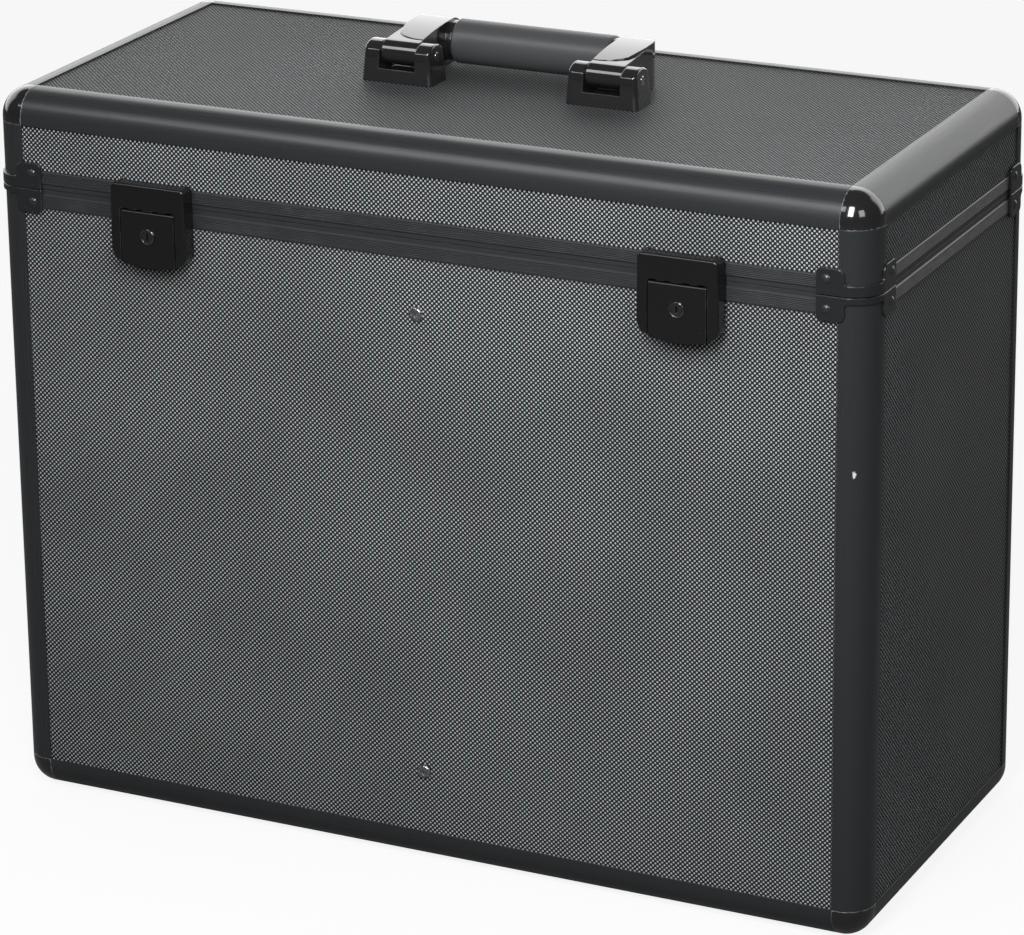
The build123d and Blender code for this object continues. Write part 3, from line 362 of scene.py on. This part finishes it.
def extrusion(name, axis, color, roughness, nick=None):
    """Satin anodising with draw lines along one axis, and a nick down to bare metal if its place is given."""
    made, tree, shader, place = new_finish(name, color, roughness)
    factors = [1.0, 1.0, 1.0]
    factors[axis] = 0.02
    marks = use_group(tree, streaks, Place=stretched(tree, place, factors), Amount=0.12)
    tree.links.new(maths(tree, "ADD", marks["Roughness change"], roughness), shader.inputs["Roughness"])
    edges = use_group(tree, eased_edges, Radius=0.0004)
    speck = use_group(tree, dust, Place=place, Amount=0.35)["Speck"]
    patches = ramp(tree, noise(tree, place, 60.0, 3.0), 0.45, 0.75, 0.0, 0.5)
    rubbed = maths(tree, "MULTIPLY", edges["Edge"], patches)
    worn = mixed(tree, rubbed, color, (0.13, 0.13, 0.135))
    surface = mixed(tree, speck, worn, (0.28, 0.28, 0.27))
    if nick:
        offset = tree.nodes.new("ShaderNodeVectorMath")
        offset.operation = "DISTANCE"
        tree.links.new(stretched(tree, place, nick_squash), offset.inputs[0])
        offset.inputs[1].default_value = [place_of * squash for place_of, squash in zip(nick, nick_squash)]
        uneven = ramp(tree, noise(tree, place, 900.0), 0.2, 0.8, 0.0, 0.0009)
        ragged = maths(tree, "ADD", offset.outputs["Value"], uneven)
        surface = mixed(tree, ramp(tree, ragged, 0.0018, 0.0012), surface, (0.75, 0.75, 0.74))
    tree.links.new(surface, shader.inputs["Base Color"])
    add_bump(tree, shader, marks["Height"], 0.00002, edges["Normal"])
    return made


edge_black = (0.022, 0.0245, 0.0265)
rim_black = (0.026, 0.028, 0.030)
edge_x = extrusion("edge extrusion x", 0, edge_black, 0.30)
edge_y = extrusion("edge extrusion y", 1, edge_black, 0.30)
edge_z = extrusion("edge extrusion z", 2, edge_black, 0.30, nick=(0.2895, -0.1314, 0.3073))
rim_x = extrusion("rim extrusion x", 0, rim_black, 0.38)
rim_y = extrusion("rim extrusion y", 1, rim_black, 0.38)

# %% [markdown]
# ## Ball corners
#
# The corners are pressed steel with a gloss black finish, sharp enough to mirror the studio lamps. Their
# mouths rub against the bars, so a ragged band a millimetre wide at each mouth is paler. The distance to
# the nearest mouth plane gives that band without any painting.


# %% Ball corners
mouth_x, mouth_y, mouth_z = 0.2786, 0.1136, 0.2186


def ball_finish():
    """Gloss black that is rubbed paler along the three mouths."""
    gloss = (0.012, 0.012, 0.013)
    made, tree, shader, place = new_finish("ball corner gloss", gloss, 0.12, coat=0.6)
    at = axes(tree, place)
    mouths = []
    for axis, middle, mouth in (("X", 0.0, mouth_x), ("Y", case_y, mouth_y), ("Z", half_h, mouth_z)):
        reach = maths(tree, "ABSOLUTE", maths(tree, "SUBTRACT", at[axis], middle))
        mouths.append(maths(tree, "SUBTRACT", reach, mouth))
    nearest = maths(tree, "MINIMUM", maths(tree, "MINIMUM", mouths[0], mouths[1]), mouths[2])
    ragged = ramp(tree, noise(tree, place, 420.0, 3.0), 0.3, 0.8, 0.0, 0.0009)
    rubbed = ramp(tree, maths(tree, "SUBTRACT", nearest, ragged), 0.0004, 0.0)
    speck = use_group(tree, dust, Place=place, Amount=0.4)["Speck"]
    paint = mixed(tree, rubbed, gloss, (0.15, 0.155, 0.16))
    tree.links.new(mixed(tree, speck, paint, (0.3, 0.3, 0.3)), shader.inputs["Base Color"])
    tree.links.new(ramp(tree, rubbed, 0.0, 1.0, 0.12, 0.34), shader.inputs["Roughness"])
    return made


ball = ball_finish()

# %% [markdown]
# ## Coated, plated and moulded pieces
#
# Brackets, latches, hinges, rivets, screws and the handle are all small pieces of one tone with a faint
# grain. They differ in colour, in how metallic they are, in gloss and in the size of the grain, so one
# function makes them all.


# %% Small pieces
def coated(name, color, roughness, grain=900.0, depth=0.00002, metallic=0.0, coat=0.0, edge=0.0005, rub=0.10):
    """A finish of one tone with a fine grain, eased edges that are rubbed paler, and a little dust."""
    made, tree, shader, place = new_finish(name, color, roughness, metallic, coat)
    peel = noise(tree, place, grain)
    tree.links.new(ramp(tree, peel, 0.3, 0.7, roughness * 0.85, roughness * 1.2), shader.inputs["Roughness"])
    edges = use_group(tree, eased_edges, Radius=edge)
    speck = use_group(tree, dust, Place=place, Amount=0.3)["Speck"]
    rubbed = maths(tree, "MULTIPLY", edges["Edge"], ramp(tree, noise(tree, place, 75.0, 3.0), 0.35, 0.75))
    pale = tuple(c + rub for c in color)
    worn = mixed(tree, rubbed, color, pale)
    tree.links.new(mixed(tree, speck, worn, (0.3, 0.3, 0.3)), shader.inputs["Base Color"])
    add_bump(tree, shader, peel, depth, edges["Normal"])
    return made


bracket_black = coated(
    "bracket satin black", (0.014, 0.015, 0.016), 0.24, depth=0.000006, coat=0.2, edge=0.0008
)
hinge_black = coated("hinge satin black", (0.020, 0.021, 0.022), 0.32)
latch_black = coated(
    "latch satin black", (0.0065, 0.0065, 0.007), 0.20, grain=700.0, depth=0.000003, edge=0.0008
)
rivet_black = coated("rivet black", (0.024, 0.025, 0.026), 0.20, edge=0.0002)
screw_zinc = coated("screw zinc", (0.42, 0.42, 0.43), 0.24, metallic=1.0, edge=0.0002)
pin_steel = coated("pin steel", (0.50, 0.50, 0.51), 0.22, metallic=1.0, edge=0.0002)
lock_black = coated("lock black chrome", (0.16, 0.16, 0.165), 0.14, metallic=1.0, depth=0.000003, edge=0.0008)
plug_dark = coated("key plug black", (0.012, 0.012, 0.013), 0.18, coat=0.4, depth=0.000004, edge=0.0005)
handle_gloss = coated(
    "handle gloss", (0.012, 0.012, 0.013), 0.10, grain=160.0, depth=0.00001, coat=1.0, edge=0.0010, rub=0.03
)
grip_rubber = coated("grip rubber", (0.055, 0.058, 0.061), 0.38, grain=1600.0, depth=0.00002)


# %% Divider plywood
two_plies = 0.0024


def divider_finish():
    """Black film-faced plywood that shows its layers along the top edge."""
    film = (0.020, 0.020, 0.021)
    made, tree, shader, place = new_finish("divider plywood", film, 0.45)
    at = axes(tree, place)
    layers = maths(tree, "SINE", maths(tree, "MULTIPLY", at["X"], math.tau / two_plies))
    grain = noise(tree, stretched(tree, place, (600.0, 14.0, 14.0)), 1.0, 3.0)
    bands = ramp(tree, maths(tree, "ADD", layers, grain), 0.1, 0.9)
    wood = mixed(tree, bands, (0.30, 0.19, 0.10), (0.52, 0.38, 0.24))
    board_low, board_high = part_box("divider_board")
    top = ramp(tree, at["Z"], board_high.z - 0.0004, board_high.z - 0.00005)
    core = ramp(tree, maths(tree, "ABSOLUTE", at["X"]), board_high.x - 0.0003, board_high.x - 0.0005)
    scuffs = ramp(tree, noise(tree, place, 120.0, 4.0), 0.45, 0.75)
    face = mixed(tree, scuffs, film, (0.045, 0.044, 0.042))
    tree.links.new(mixed(tree, maths(tree, "MULTIPLY", top, core), face, wood), shader.inputs["Base Color"])
    return made


divider_wood = divider_finish()

# %% [markdown]
# ## Finishes onto the carried-over pieces
#
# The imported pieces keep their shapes. Each only gets its finish, by name, and the last line says whether
# any was forgotten.

# %% Assign finishes
finishes = {
    laminate_front: ["body_front_panel", "body_back_panel", "lid_strips_long"],
    laminate_side: ["body_left_panel", "body_right_panel", "lid_strips_short"],
    laminate_flat: ["body_bottom_panel", "lid_top_panel"],
    edge_x: ["body_edges_long", "lid_edges_long"],
    edge_y: ["body_edges_short", "lid_edges_short"],
    edge_z: ["body_corner_posts", "lid_corner_posts"],
    rim_x: ["body_rims_long", "lid_rims_long"],
    rim_y: ["body_rims_short", "lid_rims_short"],
    ball: ["body_ball_corners", "lid_ball_corners"],
    bracket_black: ["body_brackets", "lid_brackets", "latch_base_left", "latch_base_right", "lid_catches"],
    hinge_black: ["hinge_body_leaves", "hinge_lid_leaves"],
    rivet_black: ["body_bracket_rivets", "lid_bracket_rivets", "latch_base_rivets", "lid_catch_rivets"],
    latch_black: ["latch_claw_left", "latch_claw_right", "latch_lever_left", "latch_lever_right"],
    screw_zinc: ["divider_screws", "handle_mount_screws", "hinge_body_rivets", "hinge_lid_rivets"],
    pin_steel: ["latch_lever_pins", "latch_claw_pins_left", "latch_claw_pins_right", "hinge_pins",
                "handle_core", "handle_pins"],
    lock_black: ["lock_housing_left", "lock_housing_right"],
    plug_dark: ["key_plug_left", "key_plug_right"],
    handle_gloss: ["handle_mounts", "handle_arm_left", "handle_arm_right"],
    grip_rubber: ["handle_grip"],
    divider_wood: ["divider_board"],
}
foam_nodes = ["floor_pads", "front_wall_pads", "back_wall_pads", "end_wall_pads", "divider_pads",
              "lid_foam_pad"]
for finish, names in finishes.items():
    for name in names:
        for slot in nodes[name].material_slots:
            slot.material = finish
finished = {name for names in finishes.values() for name in names}
print("without a finish", sorted(set(nodes) - finished - set(foam_nodes)))

# %% [markdown]
# ## Foam lining
#
# The bays are lined with charcoal foam sheet, cut with a knife: flat in the middle, its rims eased and a
# little uneven. Each pad starts as a cube cut into cells, smoothing draws the rims in, and a subdivision
# surface makes them round. Smoothing only shrinks a shape, so a pad stays in the space that its packed
# solid holds.


# %% Foam finish
def foam_finish(name, color):
    """Matt foam of one tone, with painted shade darkening the pits of cut cells."""
    made, tree, shader, place = new_finish(name, color, 0.95, specular=0.2)
    cells = tree.nodes.new("ShaderNodeTexVoronoi")
    cells.inputs["Scale"].default_value = 700.0
    tree.links.new(place, cells.inputs["Vector"])
    soft = noise(tree, place, 90.0, 3.0)
    # Painted shade: the colour is darkened in the pits of the cut cells, where shade falls in the hollows.
    painted_pit_shade = ramp(tree, cells.outputs["Distance"], 0.35, 0.05)
    shade = mixed(tree, ramp(tree, soft, 0.3, 0.7), color, tuple(c * 1.25 for c in color))
    tree.links.new(mixed(tree, painted_pit_shade, shade, tuple(c * 0.45 for c in color)), shader.inputs["Base Color"])
    add_bump(tree, shader, maths(tree, "ADD", cells.outputs["Distance"], soft), 0.0006)
    return made


wall_foam = foam_finish("wall foam", (0.045, 0.046, 0.050))
crate_foam = foam_finish("egg-crate foam", (0.060, 0.061, 0.065))


# %% Foam blocks
def cut_block(low, high, cell=0.011):
    """A cube between two corners, cut into cells by planes along each axis and eased by smoothing."""
    block = bmesh.new()
    low, high = Vector(low), Vector(high)
    size = high - low
    bmesh.ops.create_cube(block, size=1.0)
    bmesh.ops.scale(block, vec=size, verts=block.verts[:])
    bmesh.ops.translate(block, vec=(low + high) / 2, verts=block.verts[:])
    for axis in range(3):
        count = max(3, round(size[axis] / cell))
        for step in range(1, count):
            point, normal = Vector(low), Vector((0.0, 0.0, 0.0))
            point[axis] += size[axis] * step / count
            normal[axis] = 1.0
            whole = block.verts[:] + block.edges[:] + block.faces[:]
            bmesh.ops.bisect_plane(block, geom=whole, plane_co=point, plane_no=normal)
    for _ in range(2):
        bmesh.ops.smooth_vert(
            block, verts=block.verts[:], factor=0.5, use_axis_x=True, use_axis_y=True, use_axis_z=True
        )
    return block


def foam_piece(name, node, body, finish, blocks):
    """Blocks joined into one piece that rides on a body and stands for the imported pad."""
    joined = bmesh.new()
    for block in blocks:
        part = bpy.data.meshes.new("part of " + name)
        bmesh.ops.recalc_face_normals(block, faces=block.faces[:])
        block.to_mesh(part)
        block.free()
        joined.from_mesh(part)
        bpy.data.meshes.remove(part)
    for face in joined.faces:
        face.smooth = True
    mesh = bpy.data.meshes.new(name)
    joined.to_mesh(mesh)
    joined.free()
    mesh.materials.append(finish)
    piece = bpy.data.objects.new(name, mesh)
    bpy.context.scene.collection.objects.link(piece)
    round_rims = piece.modifiers.new("round rims", "SUBSURF")
    round_rims.levels = round_rims.render_levels = 1
    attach(piece, body)
    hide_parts(node)
    print(name, "faces", len(mesh.polygons))


def both_bays(low, high):
    """A block between two corners and its mirror image across the divider."""
    return [cut_block(low, high), cut_block((-high[0], low[1], low[2]), (-low[0], high[1], high[2]))]


# %% Pads of the two bays
clear = 0.0003
bay_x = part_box("divider_board")[1].x + clear
long_pads = {"floor_pads": "floor_foam", "front_wall_pads": "front_foam", "back_wall_pads": "back_foam"}
for node, title in long_pads.items():
    low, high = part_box(node)
    foam_piece(title, node, "case_body", wall_foam, both_bays((bay_x, low.y, low.z), tuple(high)))
wall_low, wall_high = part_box("front_wall_pads")
thick = wall_high.y - wall_low.y
low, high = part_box("end_wall_pads")
foam_piece("end_foam", "end_wall_pads", "case_body", wall_foam,
           both_bays((high.x - thick, low.y, low.z), tuple(high)))
low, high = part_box("divider_pads")
foam_piece("divider_foam", "divider_pads", "case_body", wall_foam,
           both_bays((bay_x, low.y, low.z), tuple(high)))

# %% [markdown]
# The lid holds egg-crate foam, cut from one block by rollers, so that pegs and hollows alternate. A flat
# grid is extruded into a slab, and the lower side is then moved by one cosine times another.

# %% Egg-crate foam in the lid
low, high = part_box("lid_foam_pad")
size = high - low
peg_pitch, peg_depth = 0.040, 0.015
crate = bmesh.new()
bmesh.ops.create_grid(crate, x_segments=112, y_segments=46, size=0.5)
bmesh.ops.scale(crate, vec=(size.x, size.y, 1.0), verts=crate.verts[:])
bmesh.ops.translate(crate, vec=((low.x + high.x) / 2, (low.y + high.y) / 2, low.z), verts=crate.verts[:])
raised = bmesh.ops.extrude_face_region(crate, geom=crate.faces[:])["geom"]
backing = [item for item in raised if isinstance(item, bmesh.types.BMVert)]
bmesh.ops.translate(crate, vec=(0.0, 0.0, size.z), verts=backing)
middle_y = (low.y + high.y) / 2
for vert in set(crate.verts) - set(backing):
    across = math.cos(math.tau * vert.co.x / peg_pitch)
    along = math.cos(math.tau * (vert.co.y - middle_y) / peg_pitch)
    vert.co.z += peg_depth * (0.5 - 0.5 * across * along)
foam_piece("egg_crate_foam", "lid_foam_pad", "lid", crate_foam, [crate])

# %% [markdown]
# ## Studio
#
# The catch-lights on the ball corner say where the lamps stood: one tall softbox straight in front and
# high, and a squarer one to the right. The pale band along the round front-top edge needs a third, large
# and dim, to the left: it stands for light off a pale ceiling or wall. A bright backdrop behind the case
# shows in the flat tops of the handle and along the upper edges. It is a bright region of the world rather
# than a wall, so it doesn't get in the way of other views. The world is dim elsewhere, which keeps black
# surfaces black.

# %% Lamps
corner = Vector((0.282, -0.113, 0.462))


def softbox(name, azimuth, elevation, distance, width, height, radiance):
    """A rectangular lamp aimed at the front corner; its power follows from how bright its face is."""
    azimuth, elevation = math.radians(azimuth), math.radians(elevation)
    flat = math.cos(elevation)
    away = Vector((flat * math.sin(azimuth), -flat * math.cos(azimuth), math.sin(elevation)))
    data = bpy.data.lights.new(name, "AREA")
    data.shape = "RECTANGLE"
    data.size, data.size_y = width, height
    data.energy = radiance * math.pi * width * height
    lamp = bpy.data.objects.new(name, data)
    bpy.context.scene.collection.objects.link(lamp)
    lamp.location = corner + away * distance
    lamp.rotation_euler = away.to_track_quat("Z", "Y").to_euler()
    lamp.visible_camera = False
    print(name, "at", [round(v, 2) for v in lamp.location], "watts", round(data.energy, 1))


softbox("front softbox", 2.5, 36.0, 1.15, 0.365, 0.74, 20.0)
softbox("right softbox", 48.0, 29.0, 1.6, 0.58, 0.64, 5.0)
softbox("ceiling bounce", -38.0, 39.0, 2.4, 1.0, 0.8, 4.6)

# %% World
back_azimuth = Vector((-0.437, 0.899, 0.0))
backdrop_level, room_level = 2.0, 0.08
world = bpy.data.worlds.new("studio")
bpy.context.scene.world = world
world.use_nodes = True
tree = world.node_tree
direction = axes(tree, tree.nodes.new("ShaderNodeTexCoord").outputs["Generated"])
steepness = maths(tree, "MULTIPLY", direction["Z"], direction["Z"])
flat_length = maths(tree, "SQRT", maths(tree, "SUBTRACT", 1.0, steepness))
along_x = maths(tree, "MULTIPLY", direction["X"], back_azimuth.x)
along_y = maths(tree, "MULTIPLY", direction["Y"], back_azimuth.y)
not_zero = maths(tree, "MAXIMUM", flat_length, 0.001)
turned = maths(tree, "DIVIDE", maths(tree, "ADD", along_x, along_y), not_zero)
fade_az, full_az = math.radians(75), math.radians(60)
fade_el, full_el = math.radians(46), math.radians(36)
behind = ramp(tree, turned, math.cos(fade_az), math.cos(full_az))
below_top = ramp(tree, direction["Z"], math.sin(fade_el), math.sin(full_el))
backdrop = maths(tree, "MULTIPLY", behind, below_top)
level = maths(tree, "ADD", maths(tree, "MULTIPLY", backdrop, backdrop_level - room_level), room_level)
rays = tree.nodes.new("ShaderNodeLightPath")
seen = maths(tree, "MAXIMUM", rays.outputs["Is Camera Ray"], rays.outputs["Is Transmission Ray"])
dark_part = maths(tree, "MULTIPLY", level, maths(tree, "SUBTRACT", 1.0, seen))
tree.links.new(maths(tree, "ADD", dark_part, seen), tree.nodes["Background"].inputs["Strength"])
tree.nodes["Background"].inputs["Color"].default_value = (1.0, 1.0, 1.0, 1.0)

# %% [markdown]
# The floor is a pale sheet. The camera sees it as white that is mostly its own light, with a share of plain
# paper that takes the case's shadow. For the light that it throws back it is darker, since a white floor
# would lift the blacks, and mirrors see only a little of it.

# %% Floor
paper_share, mirrored_share = 0.12, 0.04
floor_bm = bmesh.new()
bmesh.ops.create_grid(floor_bm, x_segments=1, y_segments=1, size=15.0)
floor_mesh = bpy.data.meshes.new("floor")
floor_bm.to_mesh(floor_mesh)
floor_bm.free()
floor = bpy.data.objects.new("floor", floor_mesh)
bpy.context.scene.collection.objects.link(floor)
floor.location.z = -0.0002
floor_finish, tree, shader, _ = new_finish("pale floor", (0.14, 0.14, 0.14), 0.9, specular=0.0)
floor_mesh.materials.append(floor_finish)
paper = tree.nodes.new("ShaderNodeBsdfDiffuse")
paper.inputs["Color"].default_value = (0.85, 0.85, 0.85, 1.0)
glow = tree.nodes.new("ShaderNodeEmission")
glow.inputs["Strength"].default_value = 1.0
white = tree.nodes.new("ShaderNodeMixShader")
white.inputs[0].default_value = paper_share
tree.links.new(glow.outputs[0], white.inputs[1])
tree.links.new(paper.outputs[0], white.inputs[2])
rays = tree.nodes.new("ShaderNodeLightPath")
direct = maths(tree, "MAXIMUM", rays.outputs["Is Camera Ray"], rays.outputs["Is Transmission Ray"])
mirrored = maths(tree, "MULTIPLY", rays.outputs["Is Glossy Ray"], mirrored_share)
choice = tree.nodes.new("ShaderNodeMixShader")
tree.links.new(maths(tree, "MAXIMUM", direct, mirrored), choice.inputs[0])
tree.links.new(shader.outputs[0], choice.inputs[1])
tree.links.new(white.outputs[0], choice.inputs[2])
tree.links.new(choice.outputs[0], tree.nodes["Material Output"].inputs["Surface"])
bpy.context.scene.view_settings.view_transform = "Standard"
